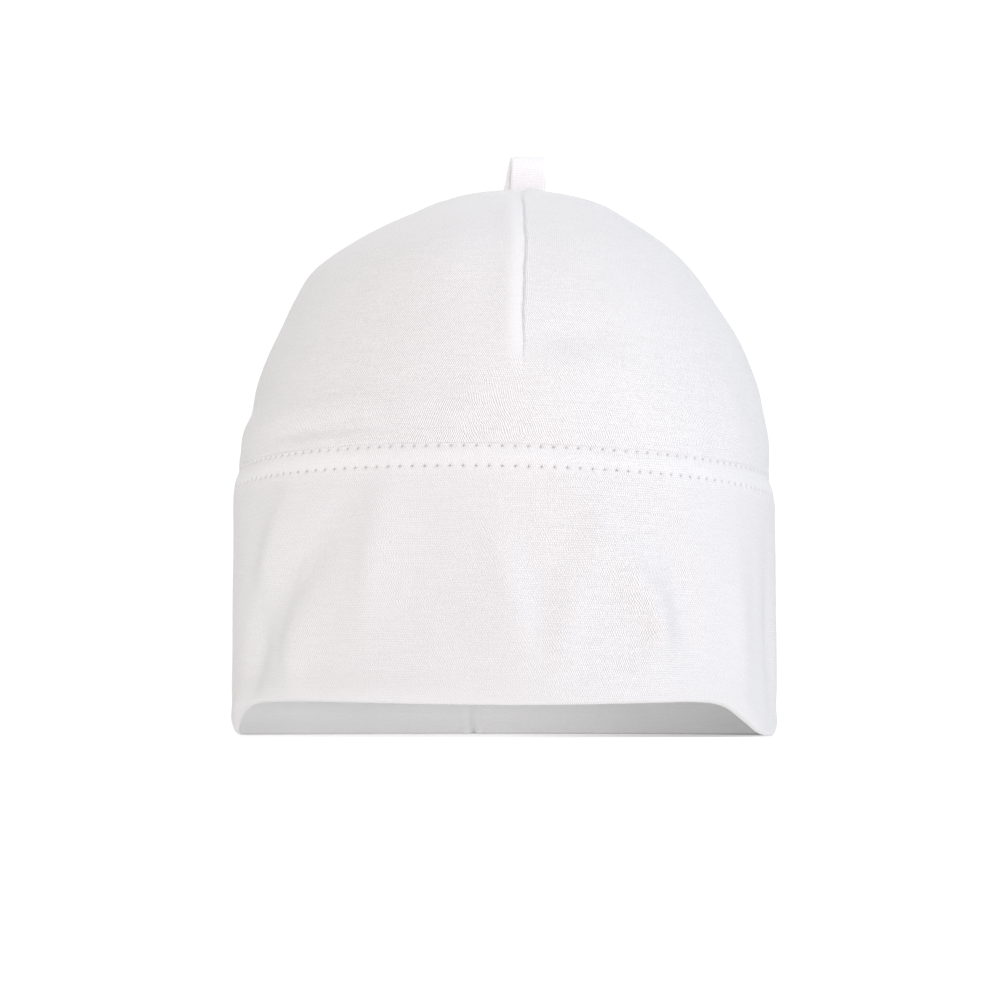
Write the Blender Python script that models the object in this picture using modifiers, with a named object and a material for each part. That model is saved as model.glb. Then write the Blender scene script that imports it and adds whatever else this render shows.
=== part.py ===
"""Baby beanie of white cotton jersey: a crown with four darts, a double band and a hanging loop.

Metres, +Z up. The beanie stands on the rim of its band at z = 0, with its front towards -Y.
Angles run round the head from the front middle, positive towards +X.
"""
import math
from collections import namedtuple

import bmesh
import bpy

# Overall sizes of the beanie as worn
BAND_WIDTH = 0.1206
BAND_DEPTH = 0.1340
BAND_HEIGHT = 0.0576
CROWN_HEIGHT = 0.0645
OVAL_EXPONENT = 2.06

# Walls and fits
BAND_WALL = 0.0022
CROWN_WALL = 0.0012
CLEARANCE = 0.0003
SKIRT_DEPTH = 0.0058
EDGE_RADIUS = 0.0007

# The band's seam leans a little, and the front of its rim stands up from the surface
SEAM_LEAN = math.radians(1.03)
RIM_LIFT = 0.0070

# The stitched seam draws the cloth in, and the rim curls in a little where it is folded
WAIST_DEPTH = 0.0012
WAIST_REACH = 0.0056
CURL_DEPTH = 0.0009
CURL_REACH = 0.0050

# Relief of the cloth. The crown's folds fade out over its top quarter.
FOLD_RELIEF = 0.0012
TOP_FADE = 4.0
DART_DROP = 0.0460
DART_DEPTH = 0.0011
DART_RIDGE = 0.0006
DART_WIDTH = 0.0011
LOBE_DEPTH = 0.0010
LOBE_WIDTH = 0.0085

# The hanging loop, a strip folded over and sewn in where the darts meet
LOOP_WIDTH = 0.0077
LOOP_TAPER = 0.08
LOOP_HEIGHT = 0.0090
LOOP_REACH = 0.0019
LOOP_WALL = 0.0013
LOOP_SKEW = 0.0015
LOOP_TURN = math.radians(8)
LOOP_EDGE = 0.0003
SHARP_DEGREES = 50
SEAT_RADIUS = 0.0056

# Where the darts meet, as shares of half the band's width and depth
SEAT_SHIFT = (0.078, 0.018)

# Columns of the mesh round the head, closer together beside each dart
DART_ANGLES = (4.0, 88.0, 180.0, -90.0)
DART_COLUMNS = (-4.8, -2.4, -1.1, 0.0, 1.3, 3.8)
PLAIN_COLUMNS = 12

# Heights of the mesh rows of the band's outer and inner face, from the rim to the seam, and
# drops of the rows of the crown's lower edge as shares of SKIRT_DEPTH
OUTER_SHARES = (0.0, 0.05, 0.12, 0.24, 0.38, 0.52, 0.66, 0.79, 0.90, 0.94, 0.97, 1.0)
INNER_SHARES = (0.0, 0.05, 0.12, 0.28, 0.46, 0.64, 0.80, 0.90, 0.93, 0.965, 1.0)
SKIRT_DROPS = (1.0, 0.73, 0.45)

# Lower edge of the crown, from inside the band out over its seam: height above the seam as
# a share of the band's wall, and inset as a share of the inset that clears the wall
Tuck = namedtuple("Tuck", "up inset")
TUCK_ROWS = (
    Tuck(-0.40, 1.00),
    Tuck(0.16, 0.80),
    Tuck(0.42, 0.46),
    Tuck(0.78, 0.14),
)

# Sections of the crown from the seam to the seat of the loop. Heights are shares of
# CROWN_HEIGHT, reaches and shifts are shares of half the band's width or depth.
Section = namedtuple("Section", "height wide deep shift_x shift_y square")
CROWN_ROWS = (
    Section(0.050, 0.978, 0.980, 0.004, 0.000, 2.06),
    Section(0.125, 0.976, 0.976, 0.006, 0.002, 2.05),
    Section(0.195, 0.956, 0.962, 0.014, 0.004, 2.04),
    Section(0.290, 0.934, 0.940, 0.012, 0.007, 2.03),
    Section(0.390, 0.897, 0.910, 0.013, 0.010, 2.02),
    Section(0.490, 0.850, 0.868, 0.014, 0.012, 2.02),
    Section(0.590, 0.793, 0.816, 0.004, 0.014, 2.02),
    Section(0.680, 0.733, 0.756, 0.000, 0.015, 2.02),
    Section(0.760, 0.641, 0.672, 0.015, 0.016, 2.02),
    Section(0.830, 0.532, 0.570, 0.029, 0.017, 2.02),
    Section(0.890, 0.427, 0.462, 0.045, 0.018, 2.00),
    Section(0.940, 0.340, 0.362, 0.050, 0.018, 2.00),
    Section(0.978, 0.246, 0.250, 0.044, 0.018, 2.00),
)

# Height of the rim above the surface round the front, as shares of RIM_LIFT
Rim = namedtuple("Rim", "angle lift")
RIM_ROWS = (
    Rim(-98, 0.00),
    Rim(-90, 0.03),
    Rim(-80, 0.26),
    Rim(-71, 0.68),
    Rim(-62, 0.95),
    Rim(-44, 1.00),
    Rim(-12, 0.90),
    Rim(8, 0.88),
    Rim(30, 0.95),
    Rim(41, 0.98),
    Rim(49, 0.86),
    Rim(57, 0.44),
    Rim(64, 0.12),
    Rim(70, 0.02),
    Rim(76, 0.00),
)

# Soft folds of the band: angle and height of the middle, length and half width as shares
# of BAND_HEIGHT, lean from upright in degrees, and rise as a share of FOLD_RELIEF
Fold = namedtuple("Fold", "angle height length width lean rise")
BAND_FOLDS = (
    Fold(-50, 0.42, 0.80, 0.150, 32, -0.75),
    Fold(-67, 0.46, 0.85, 0.110, 12, 0.80),
    Fold(-80, 0.30, 0.80, 0.100, 4, -0.70),
    Fold(-5, 0.30, 0.60, 0.110, -14, -0.45),
    Fold(31, 0.45, 0.75, 0.130, 30, -0.65),
    Fold(43, 0.42, 0.70, 0.130, 26, 0.55),
    Fold(71, 0.22, 0.70, 0.100, -6, -0.60),
    Fold(118, 0.50, 0.85, 0.130, -20, -0.70),
    Fold(150, 0.42, 0.75, 0.120, 16, 0.55),
    Fold(-116, 0.48, 0.85, 0.130, 22, -0.65),
    Fold(-148, 0.40, 0.70, 0.130, -14, 0.50),
)

# Folds of the crown: lengths are shares of CROWN_HEIGHT
CROWN_FOLDS = (
    Fold(-72, 0.23, 0.70, 0.100, 72, -0.40),
    Fold(-64, 0.08, 0.60, 0.085, 80, 0.30),
    Fold(62, 0.30, 0.80, 0.120, -38, -0.45),
    Fold(38, 0.86, 0.55, 0.100, -60, 0.35),
    Fold(128, 0.34, 0.80, 0.130, 42, -0.50),
    Fold(-132, 0.32, 0.80, 0.120, -40, -0.50),
)

# The loop seen from its side: height share of LOOP_HEIGHT, reach share of LOOP_REACH
Bend = namedtuple("Bend", "height reach")
LOOP_ROWS = (
    Bend(0.00, 0.36),
    Bend(0.12, 0.46),
    Bend(0.30, 0.76),
    Bend(0.50, 0.96),
    Bend(0.68, 1.00),
    Bend(0.82, 0.86),
    Bend(0.93, 0.54),
    Bend(0.985, 0.22),
)

CLOTH_COLOUR = (0.905, 0.900, 0.890, 1.0)
CLOTH_ROUGHNESS = 0.92


def smooth_row(rows, place):
    """Read a table whose first column is the place, with smooth curves between its rows."""
    if place <= rows[0][0]:
        return list(rows[0])
    if place >= rows[-1][0]:
        return list(rows[-1])
    low = max(i for i, row in enumerate(rows) if row[0] <= place)
    before = rows[max(low - 1, 0)]
    start, end = rows[low], rows[low + 1]
    after = rows[min(low + 2, len(rows) - 1)]
    span = end[0] - start[0]
    t = (place - start[0]) / span
    values = []
    for a, b, c, d in zip(before, start, end, after):
        slope_b = (c - a) / (end[0] - before[0]) * span
        slope_c = (d - b) / (after[0] - start[0]) * span
        values.append(
            b * (1 + 2 * t) * (1 - t) ** 2 + slope_b * t * (1 - t) ** 2
            + c * t * t * (3 - 2 * t) - slope_c * t * t * (1 - t)
        )
    return values


def turn_between(angle, other):
    """Signed angle in degrees from other to angle, the short way round."""
    return (angle - other + 180.0) % 360.0 - 180.0


def column_angles():
    """Angles of the mesh columns: a group at each dart and even steps between the groups."""
    darts = sorted(DART_ANGLES)
    angles = []
    for i, dart in enumerate(darts):
        angles += [dart + step for step in DART_COLUMNS]
        start = dart + DART_COLUMNS[-1]
        following = darts[(i + 1) % len(darts)] + (360.0 if i + 1 == len(darts) else 0.0)
        stride = (following + DART_COLUMNS[0] - start) / (PLAIN_COLUMNS + 1)
        angles += [start + stride * (k + 1) for k in range(PLAIN_COLUMNS)]
    return angles


def oval(angle, wide, deep, square):
    """Point on an oval section, as x and y."""
    side = math.sin(math.radians(angle))
    ahead = math.cos(math.radians(angle))
    power = 2.0 / square
    x = wide * math.copysign(abs(side) ** power, side)
    y = -deep * math.copysign(abs(ahead) ** power, ahead)
    return x, y


def outward(angle):
    """Unit direction out of the oval of the band at an angle."""
    x = math.sin(math.radians(angle)) / BAND_WIDTH
    y = -math.cos(math.radians(angle)) / BAND_DEPTH
    size = math.hypot(x, y)
    return x / size, y / size


def around(angle, other):
    """Distance round the band from one angle to another."""
    return math.radians(turn_between(angle, other)) * (BAND_WIDTH + BAND_DEPTH) / 4


def fold_relief(folds, extent, angle, height):
    """Rise of the cloth from a table of folds, each a soft ridge or hollow along a leaning line."""
    total = 0.0
    for fold in folds:
        across = around(angle, fold.angle)
        up = (height - fold.height) * extent
        lean = math.radians(fold.lean)
        along = up * math.cos(lean) + across * math.sin(lean)
        off = across * math.cos(lean) - up * math.sin(lean)
        ridge = math.exp(-(off / (fold.width * extent)) ** 2)
        reach = math.exp(-(2 * along / (fold.length * extent)) ** 2)
        total += fold.rise * FOLD_RELIEF * ridge * reach
    return total


def seam_height(angle):
    """Height of the seam between band and crown."""
    x, _ = oval(angle, BAND_WIDTH / 2, BAND_DEPTH / 2, OVAL_EXPONENT)
    return BAND_HEIGHT - math.tan(SEAM_LEAN) * x


def rim_height(angle):
    """Height of the rim over the surface that the beanie stands on."""
    return RIM_LIFT * max(0.0, smooth_row(RIM_ROWS, turn_between(angle, 0.0))[1])


def drawn_in(up, drop):
    """How far the band is drawn in, at a height above its rim and a drop below its seam."""
    waist = min(max(1.0 - drop / WAIST_REACH, 0.0), 1.0)
    curl = min(max(1.0 - up / CURL_REACH, 0.0), 1.0)
    return WAIST_DEPTH * waist * waist * (3 - 2 * waist) + CURL_DEPTH * curl * curl


def band_point(angle, height, inset):
    """Point of the band at a height above the surface, inset from its outer face.
    Its folds fade out towards the rim and the seam."""
    bottom = rim_height(angle)
    share = (height - bottom) / (seam_height(angle) - bottom)
    inset += drawn_in(height - bottom, seam_height(angle) - height)
    fade = math.sin(math.pi * min(max(share, 0.0), 1.0)) ** 0.5
    rise = fold_relief(BAND_FOLDS, BAND_HEIGHT, angle, share) * fade
    x, y = oval(angle, BAND_WIDTH / 2, BAND_DEPTH / 2, OVAL_EXPONENT)
    out_x, out_y = outward(angle)
    return (x + out_x * (rise - inset), y + out_y * (rise - inset), height)


def band_profile(angle):
    """Closed profile of the folded band at one angle, as heights and insets: up the outer face,
    over the rounded top, down the inner face and across the flat of the rim."""
    bottom = rim_height(angle)
    crest_radius = BAND_WALL / 2
    low = bottom + EDGE_RADIUS
    high = seam_height(angle) - crest_radius
    corner = EDGE_RADIUS * (1 - math.sqrt(0.5))
    outer = [(low + (high - low) * share, 0.0) for share in OUTER_SHARES]
    crest = [(high + crest_radius * math.sin(turn), crest_radius * (1 - math.cos(turn)))
             for turn in (math.pi / 4, math.pi / 2, 3 * math.pi / 4)]
    inner = [(low + (high - low) * share, BAND_WALL) for share in reversed(INNER_SHARES)]
    rim = [(bottom + corner, BAND_WALL - corner), (bottom, BAND_WALL - EDGE_RADIUS),
           (bottom, EDGE_RADIUS), (bottom + corner, corner)]
    return outer + crest + inner + rim


def dart_relief(angle, radius, height):
    """Relief of the darts at a height share of the crown: a crease with a raised lip beside it,
    in the middle of a wide shallow valley. The crease runs out over the dart's last third."""
    total = 0.0
    reach = max(0.0, 1.0 - (1.0 - height) * CROWN_HEIGHT / DART_DROP)
    for dart in DART_ANGLES:
        off = math.radians(turn_between(angle, dart)) * radius
        crease = math.exp(-(off / DART_WIDTH) ** 2)
        ridge = math.exp(-((off + 2 * DART_WIDTH) / DART_WIDTH) ** 2)
        valley = math.exp(-(off / LOBE_WIDTH) ** 2)
        total += min(1.0, 3.0 * reach) * (DART_RIDGE * ridge - DART_DEPTH * crease)
        total -= LOBE_DEPTH * valley * math.sin(math.pi * reach) ** 2
    return total


def skirt_points(angle):
    """Outer face of the crown's lower edge, tucked inside the band and out over its seam."""
    seam = seam_height(angle)
    inset = BAND_WALL + CLEARANCE
    drops = [share * SKIRT_DEPTH for share in SKIRT_DROPS]
    skirt = [band_point(angle, seam - drop, inset) for drop in drops]
    tuck = [band_point(angle, seam + row.up * BAND_WALL, row.inset * inset) for row in TUCK_ROWS]
    return skirt + tuck


def crown_point(angle, row):
    """Point of the crown's outer face on one section. Relief stands out to the side low on the
    crown and upwards near its top, and the lean of the seam fades out towards the top."""
    half_x, half_y = BAND_WIDTH / 2, BAND_DEPTH / 2
    x, y = oval(angle, row.wide * half_x, row.deep * half_y, row.square)
    rise = fold_relief(CROWN_FOLDS, CROWN_HEIGHT, angle, row.height)
    rise *= min(1.0, TOP_FADE * (1.0 - row.height))
    rise += dart_relief(angle, math.hypot(x, y), row.height)
    lean = (seam_height(angle) - BAND_HEIGHT) * (1.0 - row.height)
    aside = math.sqrt(1.0 - row.height)
    out_x, out_y = outward(angle)
    return (x + row.shift_x * half_x + out_x * rise * aside,
            y + row.shift_y * half_y + out_y * rise * aside,
            BAND_HEIGHT + lean + row.height * CROWN_HEIGHT + rise * (1.0 - aside))


def seat_centre():
    """Point where the darts meet and the loop is sewn in."""
    x = SEAT_SHIFT[0] * BAND_WIDTH / 2
    y = SEAT_SHIFT[1] * BAND_DEPTH / 2
    return x, y, BAND_HEIGHT + CROWN_HEIGHT


def crown_rings(angles):
    """Rings of points of the crown's outer face, from the hidden lower edge to the loop's seat."""
    rings = list(zip(*[skirt_points(angle) for angle in angles]))
    for row in CROWN_ROWS:
        rings.append([crown_point(angle, row) for angle in angles])
    centre_x, centre_y, top = seat_centre()
    seat = []
    for angle in angles:
        x, y = oval(angle, SEAT_RADIUS, SEAT_RADIUS, 2.0)
        seat.append((centre_x + x, centre_y + y, top))
    rings.append(seat)
    return rings


def loft(name, rings, closed):
    """Join rings of points by quads. A closed loft joins its last ring to its first."""
    shell = bmesh.new()
    loops = [[shell.verts.new(point) for point in ring] for ring in rings]
    count = len(loops[0])
    pairs = list(zip(loops, loops[1:]))
    if closed:
        pairs.append((loops[-1], loops[0]))
    for lower, upper in pairs:
        for i in range(count):
            j = (i + 1) % count
            shell.faces.new((lower[i], lower[j], upper[j], upper[i]))
    mesh = bpy.data.meshes.new(name)
    if not closed:
        centre = [sum(values) / count for values in zip(*rings[-1])]
        pole = shell.verts.new(centre)
        for i in range(count):
            shell.faces.new((loops[-1][i], loops[-1][(i + 1) % count], pole))
    shell.normal_update()
    shell.to_mesh(mesh)
    shell.free()
    return bpy.data.objects.new(name, mesh)


def cloth_material(name):
    """White cotton jersey."""
    material = bpy.data.materials.new(name)
    material.use_nodes = True
    shader = material.node_tree.nodes["Principled BSDF"]
    shader.inputs["Base Color"].default_value = CLOTH_COLOUR
    shader.inputs["Roughness"].default_value = CLOTH_ROUGHNESS
    shader.inputs["Metallic"].default_value = 0.0
    return material


def add_wall(piece, thickness, offset):
    """Give an open surface its thickness."""
    wall = piece.modifiers.new("wall", "SOLIDIFY")
    wall.thickness = thickness
    wall.offset = offset
    wall.use_even_offset = True


def finish(piece, collection, material):
    """Place a piece in the collection, with its material and smooth shading."""
    piece.data.materials.append(material)
    collection.objects.link(piece)
    piece.data.shade_smooth()


def make_band(collection):
    """The folded double band, from the rim it rests on to the seam."""
    angles = column_angles()
    profiles = [band_profile(angle) for angle in angles]
    rings = []
    for station in zip(*profiles):
        rings.append([band_point(angle, height, inset)
                      for angle, (height, inset) in zip(angles, station)])
    band = loft("band", rings, closed=True)
    finish(band, collection, cloth_material("band_jersey"))


def make_crown(collection):
    """The crown, an open shell with four darts and a skirt tucked into the band."""
    crown = loft("crown", crown_rings(column_angles()), closed=False)
    finish(crown, collection, cloth_material("crown_jersey"))
    add_wall(crown, CROWN_WALL, -1.0)


def loop_path():
    """Middle line of the folded strip, from the front foot over the top to the back foot, which
    stands a little to the left."""
    front = [(0.0, -row.reach * LOOP_REACH, row.height * LOOP_HEIGHT) for row in LOOP_ROWS]
    back = [(LOOP_SKEW * (z / LOOP_HEIGHT - 1.0), -y, z) for _, y, z in reversed(front)]
    return front + [(0.0, 0.0, LOOP_HEIGHT)] + back


def make_loop(collection):
    """The hanging loop, standing on the top of the crown."""
    sections = []
    for x, y, z in loop_path():
        half = LOOP_WIDTH / 2 * (1.0 - LOOP_TAPER * z / LOOP_HEIGHT)
        sections.append([(x - half, y, z), (x + half, y, z)])
    strip = bmesh.new()
    lines = [[strip.verts.new(point) for point in section] for section in sections]
    for lower, upper in zip(lines, lines[1:]):
        strip.faces.new((lower[0], lower[1], upper[1], upper[0]))
    mesh = bpy.data.meshes.new("loop")
    strip.normal_update()
    strip.to_mesh(mesh)
    strip.free()
    loop = bpy.data.objects.new("loop", mesh)
    finish(loop, collection, cloth_material("loop_jersey"))
    x, y, top = seat_centre()
    loop.location = (x, y, top + CLEARANCE)
    loop.rotation_euler = (0.0, 0.0, LOOP_TURN)
    add_wall(loop, LOOP_WALL, 0.0)
    edge = loop.modifiers.new("edge", "BEVEL")
    edge.width = LOOP_EDGE
    edge.segments = 2
    edge.limit_method = "ANGLE"
    edge.angle_limit = math.radians(SHARP_DEGREES)


def main():
    for item in list(bpy.data.objects):
        bpy.data.objects.remove(item)
    collection = bpy.data.collections.new("baby_beanie")
    bpy.context.scene.collection.children.link(collection)
    make_band(collection)
    make_crown(collection)
    make_loop(collection)


main()
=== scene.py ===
"""Baby beanie of white cotton jersey: a crown with four darts, a folded band and a hanging loop.

Metres, +Z up, the front towards -Y. Angles run round the head from the front middle, in degrees,
positive towards +X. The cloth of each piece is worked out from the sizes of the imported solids.
"""
import math
from collections import namedtuple

import bpy
import numpy as np
from bpy.props import FloatProperty, FloatVectorProperty, PointerProperty
from mathutils import Matrix, Vector, noise


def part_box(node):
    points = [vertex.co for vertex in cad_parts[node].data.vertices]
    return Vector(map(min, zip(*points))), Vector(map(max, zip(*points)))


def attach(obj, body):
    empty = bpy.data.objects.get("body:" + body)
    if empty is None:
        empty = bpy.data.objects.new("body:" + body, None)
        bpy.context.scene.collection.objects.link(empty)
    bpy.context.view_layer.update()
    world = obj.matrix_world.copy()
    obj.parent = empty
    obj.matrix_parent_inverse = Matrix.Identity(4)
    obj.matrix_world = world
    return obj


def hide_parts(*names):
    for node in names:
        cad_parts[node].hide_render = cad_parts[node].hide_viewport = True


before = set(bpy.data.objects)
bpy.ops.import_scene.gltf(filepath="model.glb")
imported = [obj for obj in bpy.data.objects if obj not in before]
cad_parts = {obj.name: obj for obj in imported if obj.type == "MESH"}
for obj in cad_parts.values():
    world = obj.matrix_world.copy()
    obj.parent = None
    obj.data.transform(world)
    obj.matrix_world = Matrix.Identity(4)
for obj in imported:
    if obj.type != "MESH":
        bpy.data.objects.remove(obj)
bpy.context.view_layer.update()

bl_info = {
    "name": "Baby beanie",
    "version": (1, 0, 0),
    "blender": (4, 5, 0),
    "location": "View3D > Sidebar > Beanie",
    "description": "Models a white jersey baby beanie with darts, a double band and a hanging loop",
    "category": "Add Mesh",
}

BODY = "root"
MM = 0.001

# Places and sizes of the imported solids
BAND_LOW, BAND_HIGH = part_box("band")
LOOP_LOW, LOOP_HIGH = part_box("loop")
HALF_WIDTH = (BAND_HIGH.x - BAND_LOW.x) / 2
HALF_DEPTH = (BAND_HIGH.y - BAND_LOW.y) / 2
SEAM_LEAN = math.tan(math.radians(1.03))
SEAM_HEIGHT = BAND_HIGH.z - SEAM_LEAN * HALF_WIDTH
CROWN_RISE = LOOP_LOW.z - SEAM_HEIGHT
LOOP_RISE = LOOP_HIGH.z - LOOP_LOW.z
OVAL_EXPONENT = 2.06
BACK_SEAM_ANGLE = -173.0
TURN = 2 * math.pi

# The middle of the loop, as shares of half the band's width and depth, and how much lower the
# cloth of the cap lies than the solid
SEAT_SHIFT = (0.088, 0.018)
CAP_SINK = 0.0010

# The front dart runs straight when seen from the front: its distance from the middle at the
# top, and how that grows with y. The other darts keep their angles.
FRONT_DART = 0.00409
FRONT_DART_LEAN = 0.0079
OTHER_DARTS = (88.0, 180.0, 270.0)

# How far a dart's crease wavers, and bends to the right over a part of its height
DART_WAVER = 0.16 * MM
DART_BEND = 0.50 * MM
BEND_HEIGHT, BEND_SPREAD = 0.68, 0.14

# Half width of a dart's crease at its foot, how much it opens towards the top, and how far the
# cloth rolls in on its left and on its right
CREASE_WIDTH = 0.24 * MM
CREASE_OPENING = 0.26 * MM
ROLL_LEFT = 5.5 * MM
ROLL_RIGHT = 0.32 * MM

# Sections of the crown from the seam to the top. Heights are shares of CROWN_RISE, reaches
# and shifts are shares of half the band's width or depth.
Section = namedtuple("Section", "height wide deep shift_x shift_y square")
CROWN_SECTIONS = (
    Section(0.050, 0.978, 0.980, 0.004, 0.000, 2.06),
    Section(0.125, 0.976, 0.976, 0.006, 0.002, 2.05),
    Section(0.195, 0.956, 0.962, 0.014, 0.004, 2.04),
    Section(0.290, 0.934, 0.940, 0.012, 0.007, 2.03),
    Section(0.390, 0.897, 0.910, 0.013, 0.010, 2.02),
    Section(0.490, 0.850, 0.868, 0.014, 0.012, 2.02),
    Section(0.590, 0.793, 0.816, 0.004, 0.014, 2.02),
    Section(0.680, 0.733, 0.756, 0.000, 0.015, 2.02),
    Section(0.760, 0.641, 0.672, 0.015, 0.016, 2.02),
    Section(0.830, 0.532, 0.570, 0.029, 0.017, 2.02),
    Section(0.890, 0.427, 0.462, 0.045, 0.018, 2.00),
    Section(0.940, 0.340, 0.362, 0.050, 0.018, 2.00),
    Section(0.978, 0.246, 0.250, 0.044, 0.018, 2.00),
    Section(1.000, 0.090, 0.085, 0.078, 0.018, 2.00),
)

# Lower edge of the crown in mm: height over the seam and inset from the band's outer face, from
# inside the hat down to the raw edge and up between the band's layers
Tuck = namedtuple("Tuck", "up inset")
TUCKED_EDGE = (
    Tuck(1.9, 1.28), Tuck(1.2, 1.44), Tuck(0.6, 1.70), Tuck(0.0, 2.08), Tuck(-0.7, 2.58),
    Tuck(-1.4, 3.06), Tuck(-2.2, 3.42), Tuck(-3.0, 3.58), Tuck(-4.2, 3.62), Tuck(-5.6, 3.60),
    Tuck(-5.9, 3.40), Tuck(-6.0, 3.05), Tuck(-5.9, 2.72), Tuck(-5.6, 2.52), Tuck(-4.2, 2.50),
    Tuck(-3.1, 2.46), Tuck(-2.4, 2.17), Tuck(-1.7, 1.68), Tuck(-1.0, 1.20), Tuck(-0.5, 0.86),
    Tuck(-0.3, 0.62), Tuck(-0.15, 0.34), Tuck(-0.08, 0.12), Tuck(0.05, 0.02), Tuck(0.35, 0.0),
    Tuck(0.8, 0.0), Tuck(1.3, 0.03), Tuck(1.9, 0.08),
)
RAW_EDGE = 6.0 * MM
ALLOWANCE_FACE = TUCKED_EDGE[9::-1]

# Thread that whips the raw edge: distance between its turns, how far they reach up and out and
# lean along the seam, their middle's height over the edge, and its inset
WHIP_PITCH = 1.8 * MM
WHIP_UP = 1.1 * MM
WHIP_OUT = 0.62 * MM
WHIP_LEAN = 0.35
WHIP_HEIGHT = 1.0 * MM
WHIP_INSET = 3.06 * MM

# Place of the first needle hole from the back seam, in stitches, how deep a stitch lies in the
# cloth, and how much deeper its ends dip
FIRST_HOLE = 0.30
STITCH_INSET = 0.18 * MM
STITCH_DIP = 0.26 * MM

# Ridges and hollows along a line on the cloth: rise in mm, or as a share of a size that is a
# setting, and distance from the line and half width in mm
Ridge = namedtuple("Ridge", "rise off width")
RIM_ROLL = (Ridge(0.20, 2.4, 1.6), Ridge(-0.16, 6.4, 2.4))
BACK_SEAM = (Ridge(-0.40, 0.0, 0.45), Ridge(0.12, 1.2, 0.70))
ROW_CHANNEL = Ridge(-0.08, 0.0, 0.8)
ROW_PAD = Ridge(0.14, 0.0, 1.3)
DART_VALLEY = Ridge(-1.0, 0.0, 8.5)
DART_SWELL = Ridge(1.1, -2.6, 4.2)
DART_LIP = Ridge(1.0, -2.2, 2.0)
DART_HUMP = Ridge(1.0, 2.4, 1.8)
DART_FOLD = Ridge(-1.0, 0.6, 1.0)

# Random crumples of the cloth: rise in mm, or as a share, size in mm, and seed of the pattern
Crumple = namedtuple("Crumple", "rise size seed")
BAND_CRUMPLES = Crumple(0.16, 16.0, 3.0)
BAND_PUCKERS = Crumple(0.10, 4.2, 11.0)
CROWN_CRUMPLES = Crumple(0.18, 18.0, 5.0)
CROWN_PUCKERS = Crumple(0.16, 4.5, 9.0)
CREASE_GAPS = Crumple(0.7, 1.4, 21.0)

# How clearly the knit shows, as bumps and as painted shade between the loops, and how pale the
# cloth is, which is painted light: on the dim inside, on the sewn zone between the rows over the
# shade of the drawn-in waist, a little over the crown and on the loop, whose back leg lies in
# shade. Also the places round the head where it is more so: by how much, angle, and half width
# in degrees
BAND_KNIT = 0.42
INNER_BAND_KNIT = 0.35
CROWN_KNIT = 0.73
INNER_CROWN_KNIT = 0.4
LOOP_KNIT = 0.45
INNER_PALE = 0.8
SEAM_PALE = 0.16
CROWN_PALE = 0.05
LOOP_PALE = 0.50
Patch = namedtuple("Patch", "more angle width")
BAND_PATCH = Patch(0.42, 24.0, 15.0)
SEAM_PATCH = Patch(0.20, -45.0, 25.0)
CROWN_PATCH = Patch(0.16, 38.0, 18.0)

# How far the strokes of yarn move sideways over one knitted row, in columns, to either side
LEAN_LEFT = 0.5
LEAN_RIGHT = -0.42

# Uneven places in cloth and thread, in features per metre, and how far the yarn drifts
DRIFT_SCALE = 300.0
PATCH_SCALE = 60.0
RIB_PATCH_SCALE = 75.0
YARN_SCALE = (140.0, 2100.0, 1.0)
GRAIN_SCALE = 2600.0
FUZZ_SCALE = 4200.0
YARN_DRIFT = 0.9 * MM

# Height of the rim over the surface round the front, as shares of the rim's lift
Rim = namedtuple("Rim", "angle lift")
RIM_ROWS = (
    Rim(-98, 0.00), Rim(-90, 0.03), Rim(-80, 0.26), Rim(-71, 0.68), Rim(-62, 0.95),
    Rim(-44, 1.00), Rim(-12, 0.90), Rim(8, 0.88), Rim(30, 0.95), Rim(41, 0.98),
    Rim(49, 0.86), Rim(57, 0.44), Rim(64, 0.12), Rim(70, 0.02), Rim(76, 0.00),
)

# Soft folds: angle and height of the middle, length and half width as shares of the piece's
# height, lean from upright in degrees, and rise as a share of the relief
Fold = namedtuple("Fold", "angle height length width lean rise")
BAND_FOLDS = (
    Fold(-54, 0.54, 0.75, 0.080, 26, 1.20),
    Fold(-42, 0.52, 0.75, 0.090, 38, -1.10),
    Fold(-25, 0.56, 0.58, 0.072, 6, 1.30),
    Fold(-16, 0.50, 0.50, 0.080, 0, -0.80),
    Fold(-44, 0.18, 0.50, 0.090, 10, 1.90),
    Fold(-59, 0.20, 0.50, 0.090, 10, -2.40),
    Fold(-78, 0.30, 0.90, 0.080, 3, -1.00),
    Fold(1, 0.40, 0.50, 0.064, -12, 1.35),
    Fold(-9, 0.36, 0.50, 0.080, -16, -1.10),
    Fold(11, 0.30, 0.40, 0.064, 8, 1.10),
    Fold(17, 0.64, 0.36, 0.068, 6, 0.95),
    Fold(26, 0.44, 0.50, 0.072, -28, 1.70),
    Fold(29, 0.24, 0.38, 0.064, 14, 1.30),
    Fold(36, 0.38, 0.62, 0.090, -14, -1.30),
    Fold(53, 0.28, 0.70, 0.090, -4, 1.00),
    Fold(71, 0.30, 0.80, 0.090, -6, -1.20),
    Fold(118, 0.50, 0.85, 0.130, -20, -1.20),
    Fold(150, 0.42, 0.75, 0.120, 16, 1.00),
    Fold(-116, 0.48, 0.85, 0.130, 22, -1.10),
    Fold(-148, 0.40, 0.70, 0.130, -14, 0.90),
)
CROWN_FOLDS = (
    Fold(-72, 0.23, 0.70, 0.100, 72, -0.40),
    Fold(-64, 0.08, 0.60, 0.085, 80, 0.30),
    Fold(-38, 0.05, 0.50, 0.050, 86, -0.45),
    Fold(13, 0.36, 0.28, 0.050, 88, -1.00),
    Fold(15, 0.25, 0.30, 0.050, 84, 0.60),
    Fold(-17, 0.62, 0.55, 0.120, 78, 1.10),
    Fold(62, 0.30, 0.80, 0.120, -38, -0.45),
    Fold(36, 0.84, 0.60, 0.075, -62, 0.50),
    Fold(128, 0.34, 0.80, 0.130, 42, -0.50),
    Fold(-132, 0.32, 0.80, 0.120, -40, -0.50),
)

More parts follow.
